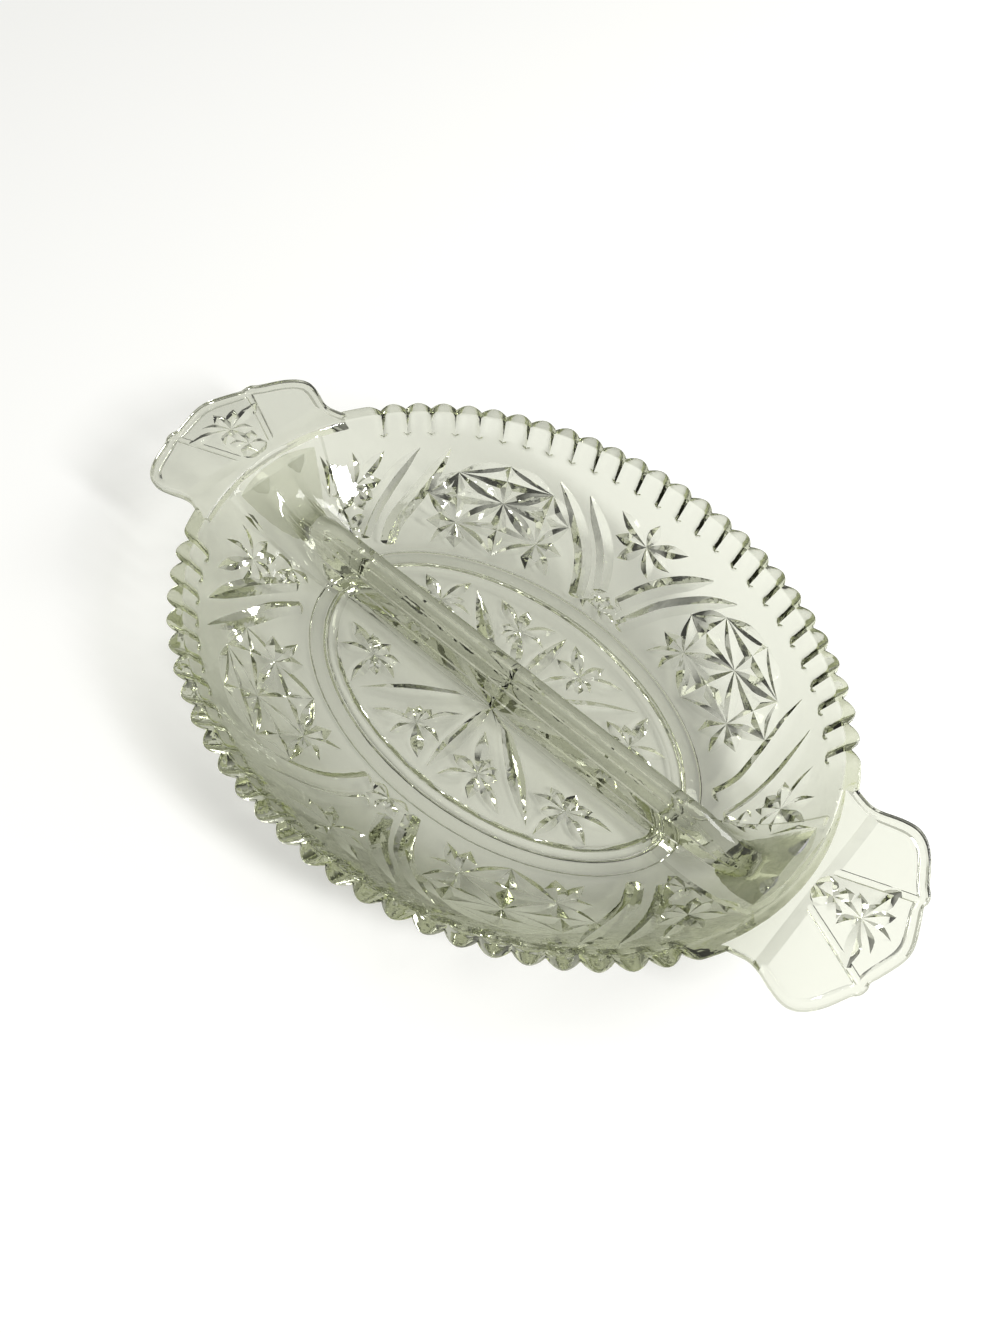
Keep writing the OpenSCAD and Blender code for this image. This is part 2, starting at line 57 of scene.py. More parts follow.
# camera, fitted to the rim, the foot ring and the tabs in the photo
camera = {"aroundTray": 0.606814797, "aboveTable": 0.968686812, "roll": 0.146486796, "unit": 0.1016,
          "distance": 3.21750695, "slideAcross": 0.00127115715, "slideUp": 0.0989759768,
          "focalPixels": 1111.97398, "picture": (1000, 1333), "lift": 0.03, "film": 36, "clip": (0.01, 50)}


def placeCamera(c):
    turn, rise = c["aroundTray"], c["aboveTable"]
    back = Vector((math.sin(turn) * math.cos(rise), -math.cos(turn) * math.cos(rise), math.sin(rise)))
    right = Vector((0, 0, 1)).cross(back).normalized()
    up = back.cross(right)
    across = right * math.cos(c["roll"]) + up * math.sin(c["roll"])
    upward = up * math.cos(c["roll"]) - right * math.sin(c["roll"])
    place = back * c["distance"] + across * c["slideAcross"] + upward * c["slideUp"]
    place += Vector((0, 0, c["lift"]))
    lens = bpy.data.cameras.new("photoCamera")
    lens.sensor_width = c["film"]
    lens.lens = c["film"] * c["focalPixels"] / max(c["picture"])
    lens.clip_start, lens.clip_end = c["clip"]
    eye = bpy.data.objects.new("photoCamera", lens)
    facing = Matrix((across, upward, back)).transposed().to_4x4()
    eye.matrix_world = Matrix.Translation(place * c["unit"]) @ facing
    collection.objects.link(eye)
    bpy.context.scene.camera = eye


placeCamera(camera)
print("camera placed")

# bowl, all sizes in millimetres
bowl = {"rimHalf": (101.5, 82.5), "rimInner": (96.9, 77.9), "footHalf": (67.4, 42.9), "height": 33.4,
        "floorTop": 6.6, "wallRoot": 2.0, "outerCurve": 2.05, "innerCurve": 1.95, "innerStart": 0.13,
        "innerEnd": 0.97, "innerSteps": 24, "outerSteps": 22, "cornerSteps": 4, "rimRound": 0.9,
        "rimLand": 2, "landShare": 0.35, "footWidth": 4.4, "footHollow": 1.6, "footRound": 1.1,
        "footEdge": 2, "fluteBottom": 24.2, "fluteRun": 1.8, "fluteRows": 5, "fluteFoot": 0.7,
        "fluteFade": ((0.35, 0.5), (0.7, 0.2), (1, 0)), "toothDepth": 2.5, "toothBevel": 0.5,
        "bevelRows": ((1.3, 0), (0.4, 0.3)), "teeth": 27, "toothStart": 22.95, "toothSpread": 0.06,
        "stepsPerTooth": 8, "plainSteps": 12, "toothRound": 1.9, "flatRings": (0.25, 0.45, 0.65, 0.85)}
# hollow inside the foot ring: distance in from the ring, and share of the hollow's depth
footMoat = ((0.2, 0.25), (0.7, 0.8), (1.2, 1.2), (1.9, 1.55), (2.8, 1.75), (3.8, 1.5), (4.8, 1.0))


def mix(low, high, share):
    return low + (high - low) * share


def outerWall(t, b=bowl):
    # half length, half width and height at a share of the way from the foot to the rim
    return (mix(b["footHalf"][0], b["rimHalf"][0], t), mix(b["footHalf"][1], b["rimHalf"][1], t),
            b["wallRoot"] + (b["height"] - b["wallRoot"]) * max(t, 0) ** b["outerCurve"])


def outerShare(z, b=bowl):
    # the share at which the outer wall reaches a height
    return ((z - b["wallRoot"]) / (b["height"] - b["wallRoot"])) ** (1 / b["outerCurve"])


def innerWall(t, b=bowl):
    # the same for the inside, which starts at the edge of the floor
    lift = max(t + b["innerStart"], 0) / (1 + b["innerStart"])
    return (mix(b["footHalf"][0], b["rimInner"][0], t), mix(b["footHalf"][1], b["rimInner"][1], t),
            b["floorTop"] + (b["height"] - b["floorTop"]) * lift ** b["innerCurve"])


def toothAngle(u, b=bowl):
    # angle of a place in a run of teeth, from -1 at one end to 1 at the other
    return 90 - (90 - b["toothStart"]) * (u + b["toothSpread"] * (u ** 3 - u))


def columnAngles(b=bowl):
    # angle of each column round the bowl, and how deep its valley is
    half = [(b["toothStart"] * i / b["plainSteps"], 0) for i in range(b["plainSteps"])]
    per = b["stepsPerTooth"] // 2
    for j in range(2 * b["teeth"] * per + 1):
        k = j / per
        away = abs((k % 2) - 1)                       # 0 on a tip, 1 in a valley
        cut = 0 if k < 1 or k > 2 * b["teeth"] - 1 else away ** b["toothRound"]
        half.append((toothAngle(1 - k / b["teeth"]), cut))
    half += [(180 - b["toothStart"] * i / b["plainSteps"], 0) for i in range(b["plainSteps"] - 1, 0, -1)]
    return half + [(180 + a, c) for a, c in half]


def softCorner(before, corner, after, reach, steps=bowl["cornerSteps"]):
    # rounds a corner of a profile, from reach before it to reach after it
    out = []
    before, corner, after = Vector(before), Vector(corner), Vector(after)
    start = corner + (before - corner).normalized() * reach
    end = corner + (after - corner).normalized() * reach
    for i in range(steps + 1):
        s = i / steps
        out.append(tuple(start * (1 - s) ** 2 + corner * 2 * s * (1 - s) + end * s * s))
    return out


def bowlProfile(b=bowl):
    # places down one side of the bowl: half length, half width, height, share of the tooth depth
    floorA, floorB, floorZ = innerWall(-b["innerStart"])
    rows = [(floorA * k, floorB * k, floorZ, 0) for k in b["flatRings"]]
    steps = b["innerSteps"]
    rows += [innerWall(mix(-b["innerStart"], b["innerEnd"], i / steps)) + (0,) for i in range(steps + 1)]
    innerTop = (*innerWall(1)[:2], b["height"])
    outerTop = (*b["rimHalf"], b["height"])
    rows += [p + (0,) for p in softCorner(innerWall(b["innerEnd"]), innerTop, outerTop, b["rimRound"])]
    (rimA, rimB), bevel = b["rimHalf"], b["toothBevel"]
    rows.append((rimA - b["rimLand"], rimB - b["rimLand"], b["height"], b["landShare"]))
    for inward, down in b["bevelRows"]:
        rows.append((rimA - inward * bevel, rimB - inward * bevel, b["height"] - down * bevel, 1))
    foot = b["fluteBottom"] + b["fluteRun"]
    for i in range(b["fluteRows"] + 1):
        z = mix(b["height"] - bevel, foot, i / b["fluteRows"])
        a, w, _ = outerWall(outerShare(z))
        rows.append((a, w, z, mix(1, b["fluteFoot"], i / b["fluteRows"])))
    for share, depth in b["fluteFade"]:
        z = mix(foot, b["fluteBottom"], share)
        a, w, _ = outerWall(outerShare(z))
        rows.append((a, w, z, depth * b["fluteFoot"]))
    top = outerShare(b["fluteBottom"])
    steps = b["outerSteps"]
    rows += [outerWall(top * (1 - i / steps)) + (0,) for i in range(1, steps + 1)]
    (fa, fb), width, hollow = b["footHalf"], b["footWidth"], b["footHollow"]
    beforeFoot, afterFoot = (fa, fb, b["footEdge"]), (fa - width, fb - width, 0)
    rows += [p + (0,) for p in softCorner(beforeFoot, (fa, fb, 0), afterFoot, b["footRound"])]
    for inward, share in footMoat:
        rows.append((fa - width - inward, fb - width - inward, hollow * share, 0))
    rows += [(rows[-1][0] * k, rows[-1][1] * k, hollow, 0) for k in reversed(b["flatRings"])]
    return rows


def ovalSpin(name, rows, columns, toothDepth):
    # spins a profile round, then draws the round out into the tray's oval
    shape = bmesh.new()
    row = shape.verts.layers.int.new("row")
    verts = []
    for i, place in enumerate(rows):
        v = shape.verts.new((place[0] * mm, 0, place[2] * mm))
        v[row] = i
        verts.append(v)
    edges = [shape.edges.new(pair) for pair in zip(verts, verts[1:])]
    count = len(columns)
    bmesh.ops.spin(shape, geom=verts + edges, cent=(0, 0, 0), axis=(0, 0, 1), angle=math.tau, steps=count,
                   use_merge=True, use_normal_flip=False, use_duplicate=False)
    bmesh.ops.remove_doubles(shape, verts=shape.verts, dist=1e-7)
    for v in shape.verts:
        turn = round(math.atan2(v.co.y, v.co.x) / math.tau * count) % count
        angle, cut = columns[turn]
        a, b, z, share = rows[v[row]]
        c, s = math.cos(math.radians(angle)), math.sin(math.radians(angle))
        out = Vector((c / a, s / b, 0)).normalized() * toothDepth * cut * share
        v.co = (Vector((a * c, b * s, z)) - out) * mm
    bmesh.ops.holes_fill(shape, edges=[e for e in shape.edges if e.is_boundary], sides=0)
    bmesh.ops.recalc_face_normals(shape, faces=shape.faces)
    return finishMesh(name, shape)


def finishMesh(name, shape):
    # turns the mesh outwards, makes an object of it and reports open edges
    if shape.calc_volume(signed=True) < 0:
        bmesh.ops.reverse_faces(shape, faces=shape.faces)
    loose = sum(1 for e in shape.edges if len(e.link_faces) != 2)
    mesh = bpy.data.meshes.new(name)
    shape.to_mesh(mesh)
    shape.free()
    thing = bpy.data.objects.new(name, mesh)
    collection.objects.link(thing)
    if loose:
        print(name, "has", loose, "open edges")
    return thing


def stackRings(shape, rings):
    # joins closed rings of points into a skin and closes both ends
    edges, verts = None, None
    for ring in rings:
        if verts is None:
            verts = [shape.verts.new(p * mm) for p in ring]
            edges = [shape.edges.new(pair) for pair in zip(verts, verts[1:] + verts[:1])]
            continue
        made = bmesh.ops.extrude_edge_only(shape, edges=edges)["geom"]
        edges = [g for g in made if isinstance(g, bmesh.types.BMEdge)]
        fresh = {g for g in made if isinstance(g, bmesh.types.BMVert)}
        verts = [next(e.other_vert(v) for e in v.link_edges if e.other_vert(v) in fresh) for v in verts]
        for v, p in zip(verts, ring):
            v.co = p * mm
    bmesh.ops.holes_fill(shape, edges=[e for e in shape.edges if e.is_boundary], sides=0)
    bmesh.ops.recalc_face_normals(shape, faces=shape.faces)
    return shape


def merge(target, others, kind):
    # one boolean with a whole list of shapes, which are then dropped
    group = bpy.data.collections.new("shapesToMerge")
    collection.children.link(group)
    for other in others:
        collection.objects.unlink(other)
        group.objects.link(other)
    step = target.modifiers.new("merge", "BOOLEAN")
    step.operation, step.solver = kind, "MANIFOLD"
    step.operand_type, step.collection = "COLLECTION", group
    bpy.context.view_layer.update()
    made = bpy.data.meshes.new_from_object(target.evaluated_get(bpy.context.evaluated_depsgraph_get()))
    target.modifiers.clear()
    old, target.data = target.data, made
    bpy.data.meshes.remove(old)
    for other in others:
        bpy.data.meshes.remove(other.data)
    bpy.data.collections.remove(group)
    return target


columns = columnAngles()
tray = ovalSpin("pressedGlassTray", bowlProfile(), columns, bowl["toothDepth"])
print("bowl spun:", len(tray.data.polygons), "faces")

# divider
divider = {"height": 17.6, "endFlare": 12, "flareStart": 0.58, "flareCurve": 1.55, "dropFrom": 66,
           "dropRun": 30, "cove": 5, "pad": 0.9, "padFrom": 0.012, "padSpread": 2, "ridge": 3,
           "length": 96.9, "reach": 98, "sink": 1.2, "footSink": 0.3, "belowRim": 0.8, "stations": 72,
           "hollowSink": 0.4, "hollowOver": 2, "wallEnd": 1.2, "halvings": 24}
# one flank of the divider: share of the height above the bowl's inside, and half width
dividerSide = [(0.0, 8.3), (0.012, 7.75), (0.035, 7.2), (0.07, 6.75), (0.12, 6.4), (0.2, 6.1), (0.33, 5.7),
               (0.35, 5.35), (0.5, 4.9), (0.64, 4.5), (0.66, 4.15), (0.78, 3.7), (0.86, 3.25), (0.88, 2.85),
               (0.93, 2.5), (0.965, 1.9), (0.985, 1.15), (1.0, 0)]


def hollowBody(name, grow, d=divider, b=bowl):
    # the space inside the bowl, grown a little into the glass
    rows = []
    for i in range(b["innerSteps"] + 1):
        a, w, z = innerWall(mix(-b["innerStart"], 1, i / b["innerSteps"]))
        rows.append((a + grow, w + grow, z - grow * d["hollowSink"], 0))
    rows[0] = (rows[0][0], rows[0][1], b["floorTop"] - grow, 0)
    rows.append((rows[-1][0], rows[-1][1], b["height"] + d["hollowOver"], 0))
    return ovalSpin(name, rows, columns, 0)


def wallAt(x, y, d=divider, b=bowl):
    # height of the bowl's inside over a spot of the table, found by halving
    low, high = -b["innerStart"], d["wallEnd"]
    for _ in range(d["halvings"]):
        t = (low + high) / 2
        a, w, z = innerWall(t)
        if (x / a) ** 2 + (y / w) ** 2 > 1:
            low = t
        else:
            high = t
    return z


def dividerRing(x, d=divider, b=bowl):
    # each end drops to the wall, spreads into a low pad and follows the wall up to the rim
    along = abs(x) / d["length"]
    spread = d["endFlare"] * (max(0, along - d["flareStart"]) / (1 - d["flareStart"])) ** d["flareCurve"]
    drop = min(1, max(0, (abs(x) - d["dropFrom"]) / d["dropRun"]))
    top, foot = b["height"] - d["belowRim"], wallAt(x, 0)
    crest = mix(b["floorTop"] + d["height"], foot + d["ridge"], drop * drop * (3 - 2 * drop))
    half = []
    for high, w in dividerSide:
        wide = w + spread * (1 - high) ** d["cove"]
        pad = d["pad"] * min(1, high / d["padFrom"]) * min(1, spread / d["padSpread"]) * (1 - high)
        half.append((wide, min(wallAt(x, wide) + pad + (crest - foot) * high, top)))
    half = [(half[0][0], half[0][1] - d["sink"] - d["footSink"])] + half
    half[-1] = (0, half[-1][1])
    return [Vector((x, w, z)) for w, z in half] + [Vector((x, -w, z)) for w, z in half[-2::-1]]


def buildDivider(d=divider):
    places = [mix(-d["reach"], d["reach"], i / d["stations"]) for i in range(d["stations"] + 1)]
    return finishMesh("dividerRib", stackRings(bmesh.new(), [dividerRing(x) for x in places]))


rib = buildDivider()
rib = merge(rib, [hollowBody("bowlHollow", divider["sink"])], "INTERSECT")
print("divider made:", len(rib.data.polygons), "faces")

# tabs
tab = {"tip": 127, "rim": 101.5, "halfWidth": 30.8, "top": 33.4, "thick": 3.8, "root": 1.2, "rootReach": 0.6,
       "rootWidth": 0.955, "rootOverlap": 1.2, "border": 1.3, "draft": 1.1, "panelDepth": 0.8,
       "ribWidth": 2.2, "ribFrom": (-0.16, 0.13), "ribTo": (0.82, 0.47), "ribLow": 0.05, "ribHigh": 1.6,
       "ribRound": 0.4, "ribSteps": 3, "cutBack": 2.2, "softPerMm": 5, "starReach": 13, "starDepth": 1.5,
       "starHalfWidth": 2.0}
# one side of a tab, from the rim to the tip: share of the way out, share of the half width
tabEdge = [(-0.36, 0.97), (-0.2, 0.925), (-0.08, 0.9), (0.03, 0.915), (0.15, 0.955), (0.28, 0.99), (0.4, 1),
           (0.51, 0.965), (0.6, 0.895), (0.67, 0.81), (0.725, 0.72), (0.77, 0.64), (0.805, 0.585),
           (0.85, 0.54), (0.87, 0.475), (0.86, 0.41), (0.895, 0.33), (0.945, 0.21), (0.985, 0.1), (1, 0)]


def tabSpot(x, y, t=tab):
    return Vector((t["rim"] + x * (t["tip"] - t["rim"]), y * t["halfWidth"], 0))


def smoothLine(points, per=4):
    # a smooth line through the points, with a few places between each two
    out = []
    for i in range(len(points) - 1):
        p0, p1 = points[max(i - 1, 0)], points[i]
        p2, p3 = points[i + 1], points[min(i + 2, len(points) - 1)]
        for j in range(per):
            s = j / per
            out.append(0.5 * ((2 * p1) + (p2 - p0) * s + (2 * p0 - 5 * p1 + 4 * p2 - p3) * s * s
                              + (3 * p1 - p0 - 3 * p2 + p3) * s ** 3))
    return out + [points[-1]]


def tabOutline():
    near = [tabSpot(x, -y) for x, y in tabEdge]
    far = [tabSpot(x, y) for x, y in reversed(tabEdge[:-1])]
    return smoothLine(near + far)


def insetRing(points, inset, t=tab):
    # the outline drawn in, and softened the further in it goes
    count = len(points)
    ring = []
    for i, point in enumerate(points):
        run = (points[(i + 1) % count] - points[i - 1]).normalized()
        ring.append(point + Vector((-run.y, run.x, 0)) * inset)
    for _ in range(round(inset * t["softPerMm"])):
        ring = [(ring[i - 1] + ring[i] * 2 + ring[(i + 1) % count]) / 4 for i in range(count)]
    return ring


def atHeight(points, z):
    return [Vector((p.x, p.y, z)) for p in points]


def buildTab(t=tab):
    under, top, draft, border = t["top"] - t["thick"], t["top"], t["draft"], t["border"]
    # height and inset of each ring, from the panel underneath, round the edge, to the top
    edge = [(under + t["panelDepth"], draft + border + 0.7), (under + 0.15, draft + border),
            (under, draft + border - 0.4), (under, draft + 0.3), (under + 0.25, draft - 0.3),
            (under + 0.8, draft - 0.75), (under + 1.6, 0.18), (top - 1.3, 0), (top - 0.8, 0.06),
            (top - 0.4, 0.22), (top - 0.14, 0.48), (top, 0.88)]
    rings = [atHeight(insetRing(tabOutline(), inset), z) for z, inset in edge]
    return finishMesh("tabPlate", stackRings(bmesh.new(), rings))


def tabRib(start, end, t=tab):
    # rounded bar under a tab, between two of its spots
    low, high = (t["top"] - t["thick"] + t[side] for side in ("ribLow", "ribHigh"))
    width = t["ribWidth"]
    shape = bmesh.new()
    bmesh.ops.create_cube(shape, size=1)
    run = end - start
    size = Matrix.Diagonal((run.length + width, width, high - low, 1))
    turn = Matrix.Rotation(math.atan2(run.y, run.x), 4, "Z")
    middle = (start + end) / 2 + Vector((0, 0, (low + high) / 2))
    bmesh.ops.transform(shape, matrix=Matrix.Scale(mm, 4) @ Matrix.Translation(middle) @ turn @ size,
                        verts=shape.verts)
    bmesh.ops.bevel(shape, geom=shape.edges[:], offset=width * t["ribRound"] * mm, segments=t["ribSteps"],
                    profile=0.5, affect="EDGES", material=-1)
    return finishMesh("tabRib", shape)


def buildTabRoot(t=tab):
    # thicker glass under the tab where it joins the rim
    shape = bmesh.new()
    under = t["top"] - t["thick"]
    ring = [shape.verts.new((p.x * mm, p.y * t["rootWidth"] * mm, (under + t["rootOverlap"]) * mm))
            for p in tabOutline()]
    face = shape.faces.new(ring)
    low = bmesh.ops.extrude_face_region(shape, geom=[face])
    verts = [g for g in low["geom"] if isinstance(g, bmesh.types.BMVert)]
    bmesh.ops.translate(shape, verts=verts, vec=(0, 0, -(t["rootOverlap"] + t["root"]) * mm))
    bmesh.ops.bisect_plane(shape, geom=shape.verts[:] + shape.edges[:] + shape.faces[:], dist=1e-7,
                           plane_co=((t["rim"] + t["rootReach"]) * mm, 0, under * mm),
                           plane_no=Vector((t["root"], 0, -t["root"] - t["rootReach"])).normalized(),
                           clear_outer=True)
    bmesh.ops.holes_fill(shape, edges=[e for e in shape.edges if e.is_boundary], sides=0)
    bmesh.ops.recalc_face_normals(shape, faces=shape.faces)
    return finishMesh("tabRoot", shape)


def buildTabs(t=tab):
    parts = [buildTabRoot()]
    (fromX, fromY), (toX, toY) = t["ribFrom"], t["ribTo"]
    for side in (1, -1):
        parts.append(tabRib(tabSpot(fromX, side * fromY), tabSpot(toX, side * toY)))
    plate = merge(buildTab(), parts, "UNION")
    plate = merge(plate, [hollowBody("bowlHollow", t["cutBack"])], "DIFFERENCE")
    other = plate.copy()
    other.data = plate.data.copy()
    other.data.transform(Matrix.Rotation(math.pi, 4, "Z"))
    collection.objects.link(other)
    return [plate, other]


tabs = buildTabs()
print("tabs made:", len(tabs[0].data.polygons), "faces each")

# cut pattern
pattern = {"starDepth": 2.6, "starHalf": 3.1, "linkDepth": 2.0, "linkHalf": 2.2, "linkBelly": 0.5,
           "grooveDepth": 2.5, "grooveHalf": 2.9, "grooveEnd": 1.1, "grooveSteps": 3, "rayDepth": 2.5,
           "rayHalf": 2.5, "rayBelly": 0.68, "floorHalf": (62.3, 37.8), "floorStarDepth": 2.0,
           "floorStarHalf": 2.0, "floorStarReach": 13.5, "lift": 1.2, "belly": 0.6, "past": 0.04,
           "leafCurve": 1.8, "leafSteps": (0.14, 0.32, 0.5, 0.68, 0.85, 0.95)}
# star lattice of an arch: places as shares of a quarter turn and of the way up the wall
starColumns = [0.425, 0.507, 0.633, 0.749, 0.812]
starRows = [0.085, 0.317, 0.525, 0.667, 0.748]
# rays between places of the lattice: start, widest place and end, then start and end
wideRays = [((2, 2), (2, 3), (2, 4)), ((2, 2), (2, 1), (2, 0)), ((2, 2), (3, 2), (4, 2)),
            ((2, 2), (1, 2), (0, 2)), ((3, 1), (3, 2), (3, 3)), ((1, 1), (1, 2), (1, 3)),
            ((1, 1), (2, 1), (3, 1)), ((1, 3), (2, 3), (3, 3)), ((3, 1), (3.6, 1), (4.2, 1)),
            ((1, 1), (0.4, 1), (-0.1, 1)), ((3, 1), (3, 0.4), (3, 0)), ((1, 1), (1, 0.4), (1, 0))]
slimRays = [((2, 2), (3, 3)), ((2, 2), (1, 3)), ((2, 2), (3, 1)), ((2, 2), (1, 1)), ((3, 1), (2, 0)),
            ((1, 1), (2, 0)), ((3, 1), (4, 0.1)), ((1, 1), (0, 0.1)), ((3, 1), (4, 2)), ((1, 1), (0, 2)),
            ((3, 3), (2, 4)), ((1, 3), (2, 4)), ((3, 3), (4, 2)), ((1, 3), (0, 2))]
# grooves of an arch, from foot to tip
grooves = [((0.922, 0.09), (0.89, 0.33), (0.86, 0.47), (0.805, 0.64), (0.755, 0.75)),
           ((0.968, 0.24), (0.938, 0.42), (0.905, 0.55), (0.866, 0.655), (0.83, 0.745)),
           ((0.262, 0.12), (0.314, 0.32), (0.376, 0.475), (0.444, 0.66), (0.482, 0.79)),
           ((0.182, 0.24), (0.248, 0.435), (0.31, 0.59), (0.355, 0.69), (0.405, 0.79))]
grooveWidths = (0.85, 1, 1, 0.8, 0.1)
grooveFoot = ((0.35, 1), (0.75, 0.6))                 # size and distance of the drawn-in sections
# stars outside the arches: middle, then the tip of each ray
besideTabStar = ((0.212, 0.612), ((0.228, 0.8), (0.217, 0.45), (0.135, 0.6), (0.291, 0.62), (0.161, 0.775),
                                  (0.311, 0.78), (0.15, 0.49), (0.259, 0.5)))
underTabStar = ((0.139, 0.34), ((0.222, 0.4), (0.137, 0.5), (0.2, 0.22), (0.144, 0.16)))
middleStar = ((1, 0.655), ((1, 0.785), (0.912, 0.75), (1.088, 0.75), (0.925, 0.62), (1.075, 0.62),
                           (0.955, 0.51), (1.045, 0.51)))
middleFootStar = ((1, 0.09), ((1, 0.235), (0.955, 0.19), (1.045, 0.19), (0.94, 0.08), (1.06, 0.08)))
plainEdge = ((0.124, 0.6), (0.135, 0.76), (0.14, 0.83))
# long rays under the floor: end in shares of its half sizes, then the ways in which it repeats
quarterSigns = [(i, j) for i in (-1, 1) for j in (-1, 1)]
floorRays = ((0.78, 0, [(1, 1), (-1, 1)]), (0.5, 0.65, quarterSigns), (0, 0.79, [(1, 1), (1, -1)]))
# small stars under the floor: place in a quarter, then the angle and the length of each ray
floorStars = {
    (0.6, 0.385): ((22, 0.8), (100, 0.84), (139, 0.52), (169, 0.74),
                   (202, 0.6), (260, 0.44), (317, 0.55), (343, 1)),
    (0.192, 0.6): ((24, 0.97), (67, 0.6), (136, 0.83), (178, 0.66),
                   (236, 1), (270, 0.45), (305, 0.42), (339, 0.42))}
# stars under a tab: share of the way out, then the angle and the length of each ray
tabStars = {
    0.47: ((0, 0.62), (45, 0.65), (74, 1), (125, 0.5), (180, 0.62), (235, 0.5), (286, 1), (315, 0.65)),
    0.15: ((0, 0.3), (50, 0.42), (130, 0.4), (230, 0.4), (310, 0.42))}


def onWall(spot, quarter):
    # point and outward normal on the outside of the wall
    angle = math.radians((spot[0] * 90, 180 - spot[0] * 90, 180 + spot[0] * 90, 360 - spot[0] * 90)[quarter])
    t, b = spot[1], bowl
    a, w, z = outerWall(t)
    c, s = math.cos(angle), math.sin(angle)
    slope = (b["height"] - b["wallRoot"]) * b["outerCurve"] * t ** (b["outerCurve"] - 1)
    spread = (b["rimHalf"][0] - b["footHalf"][0], b["rimHalf"][1] - b["footHalf"][1])
    down = a * spread[1] * s * s + w * spread[0] * c * c
    normal = Vector((w * slope * c, a * slope * s, -down)).normalized()
    return Vector((a * c, w * s, z)), normal


def addHull(shape, points):
    # adds a closed convex cutter round the points
    verts = [shape.verts.new(p * mm) for p in points]
    made = bmesh.ops.convex_hull(shape, input=verts)
    drop = [g for g in made["geom_unused"] + made["geom_interior"] if isinstance(g, bmesh.types.BMVert)]
    bmesh.ops.delete(shape, geom=list(set(drop)), context="VERTS")


def rayPoints(start, belly, end, normal, halfWidth, depth, p=pattern):
    # V cut that is deepest and widest at its belly and runs to a point at both ends
    past = (end - start) * p["past"]
    side = normal.cross(past).normalized() * halfWidth * (1 + p["lift"] / depth)
    first, last = start - past, end + past
    up = normal * p["lift"]
    return [belly - normal * depth, first, first + up, last, last + up, belly + up + side, belly + up - side]


def cutter(name, listOfPoints):
    shape = bmesh.new()
    for points in listOfPoints:
        addHull(shape, points)
    bmesh.ops.recalc_face_normals(shape, faces=shape.faces)
    return finishMesh(name, shape)


def leafPoints(spot, belly, halfWidth, depth, p=pattern):
    # V cut with a rounded outline, where spot gives the place and the normal at a share of its length
    (start, startNormal), (end, endNormal) = spot(0), spot(1)
    along = end - start
    first, last = start - along * p["past"], end + along * p["past"]
    points = [first, first + startNormal * p["lift"], last, last + endNormal * p["lift"]]
    for share in p["leafSteps"]:
        place, normal = spot(share)
        away = (belly - share) / belly if share < belly else (share - belly) / (1 - belly)
        wide = 1 - away ** p["leafCurve"]
        side = normal.cross(along).normalized() * halfWidth * (wide + p["lift"] / depth)
        top = place + normal * p["lift"]
        points += [place - normal * depth * wide, top + side, top - side]
    return points


def wallRay(start, belly, end, halfWidth, depth, quarters=(0, 1, 2, 3)):
    # one pointed cut of the wall, repeated in each quarter
    hulls = []
    for q in quarters:
        (p0, n0), (p1, n1), (p2, n2) = onWall(start, q), onWall(belly, q), onWall(end, q)
        hulls.append(rayPoints(p0, p1, p2, n1, halfWidth, depth))
    return cutter("wallRay", hulls)


def wallLeaf(start, end, belly, halfWidth, depth, quarters=(0, 1, 2, 3)):
    # one leaf-shaped cut of the wall, repeated in each quarter
    hulls = [leafPoints(lambda share, k=q: onWall(between(start, end, share), k), belly, halfWidth, depth)
             for q in quarters]
    return cutter("wallLeaf", hulls)


def alongList(values, i):
    # value at a place between two entries of a list
    low = max(0, min(len(values) - 2, math.floor(i)))
    return mix(values[low], values[low + 1], i - low)


def latticeSpot(place):
    return alongList(starColumns, place[0]), alongList(starRows, place[1])


def between(p, q, share):
    return tuple(mix(x, y, share) for x, y in zip(p, q))


def grooveSection(line, widths, i, quarter, p=pattern):
    # triangle across a groove at one of its places
    foot, normal = onWall(line[i], quarter)
    before = onWall(line[max(i - 1, 0)], quarter)[0]
    after = onWall(line[min(i + 1, len(line) - 1)], quarter)[0]
    half, depth = p["grooveHalf"] * widths[i], p["grooveDepth"] * widths[i]
    side = normal.cross(after - before).normalized() * half * (1 + p["lift"] / depth)
    top = foot + normal * p["lift"]
    return [foot - normal * depth, top + side, top - side]


def wallCutters(p=pattern):
    made = []
    for ray in wideRays:
        made.append(wallRay(*(latticeSpot(place) for place in ray), p["starHalf"], p["starDepth"]))
    for start, end in slimRays:
        made.append(wallLeaf(latticeSpot(start), latticeSpot(end), p["linkBelly"], p["linkHalf"],
                             p["linkDepth"]))
    for (centre, tips), quarters in ((besideTabStar, (0, 1, 2, 3)), (underTabStar, (0, 1, 2, 3)),
                                     (middleStar, (0, 2)), (middleFootStar, (0, 2))):
        for tip in tips:
            made.append(wallLeaf(centre, tip, p["belly"], p["linkHalf"], p["linkDepth"], quarters))
    made.append(wallRay(*plainEdge, p["linkHalf"], p["linkDepth"]))
    for groove in grooves:
        line = smoothLine([Vector(g) for g in groove], p["grooveSteps"])
        widths = [w.x for w in smoothLine([Vector((w, 0)) for w in grooveWidths], p["grooveSteps"])]
        shape = bmesh.new()
        for q in range(4):
            rings = [grooveSection(line, widths, i, q) for i in range(len(line))]
            # rounded foot of the groove: two more sections, drawn in
            back = (rings[0][0] - rings[1][0]).normalized() * p["grooveEnd"]
            middle = (rings[0][1] + rings[0][2]) / 2
            rings[:0] = [[middle.lerp(point, size) + back * far for point in rings[0]]
                         for size, far in grooveFoot]
            stackRings(shape, rings)
        made.append(finishMesh("grooveCut", shape))
    return made


